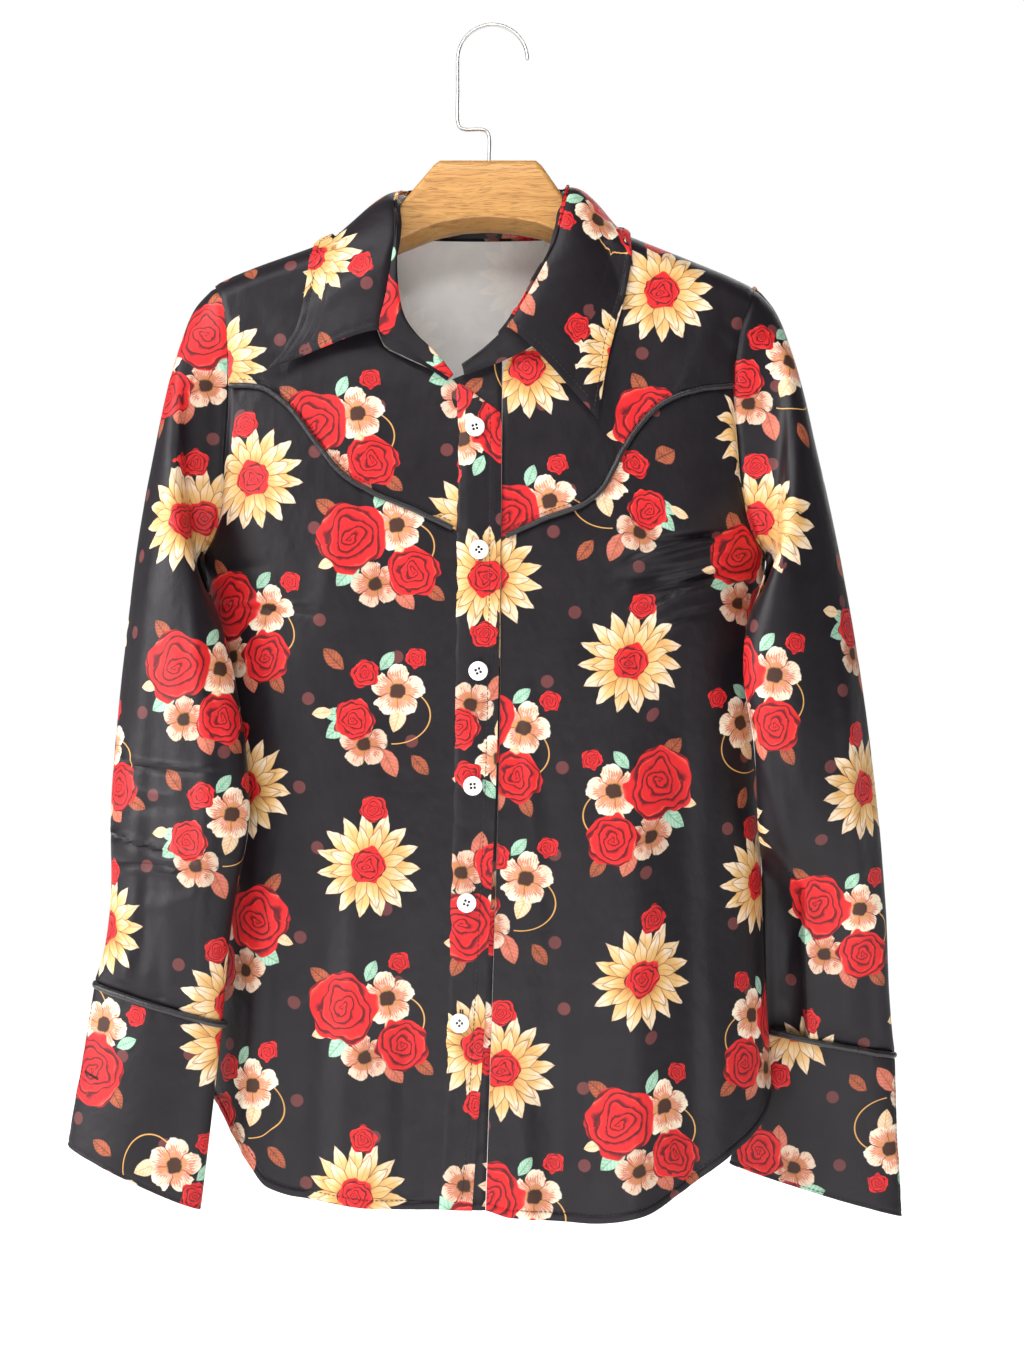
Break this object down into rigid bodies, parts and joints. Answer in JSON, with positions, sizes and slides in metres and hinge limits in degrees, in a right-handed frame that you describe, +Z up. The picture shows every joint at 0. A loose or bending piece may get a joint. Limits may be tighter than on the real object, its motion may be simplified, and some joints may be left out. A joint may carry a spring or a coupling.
{
  "type": "button-up shirt on a hanger",
  "caption": "Long-sleeved button-up shirt with western yokes, piping and a pointed collar, hanging on a wooden hanger with a wire hook.",
  "frame": {"origin": "inside of the top of the hanger's hook, where a rod carries it", "axes": "+X to the right seen from the front (the wearer's left), +Y to the back, +Z up along the hook"},
  "size_m": [0.5598, 0.1138, 0.8085],
  "materials": {
    "printed_satin": "black satin with a floral print, soft sheen",
    "piping": "black satin cord",
    "button": "polished white, four holes",
    "hanger_wood": "clear satin lacquer",
    "hook_wire": "pale brushed nickel"
  },
  "bodies": {
    "root": {"hanger_wood": "hanger_wood", "hanger_hook": "hook_wire", "yoke_right": "printed_satin", "yoke_left": "printed_satin", "front_right": "printed_satin", "front_left": "printed_satin", "back": "printed_satin", "placket_outer": "printed_satin", "placket_inner": "printed_satin", "collar_stand": "printed_satin", "collar_leaf": "printed_satin", "sleeve_upper_right": "printed_satin", "sleeve_lower_right": "printed_satin", "sleeve_upper_left": "printed_satin", "sleeve_lower_left": "printed_satin", "cuff_right": "printed_satin", "cuff_left": "printed_satin", "cuff_piping_right": "piping", "cuff_piping_left": "piping", "yoke_piping_right": "piping", "yoke_piping_left": "piping", "button_1": "button", "button_2": "button", "button_3": "button", "button_4": "button", "button_5": "button", "button_6": "button"}
  },
  "joints": []
}
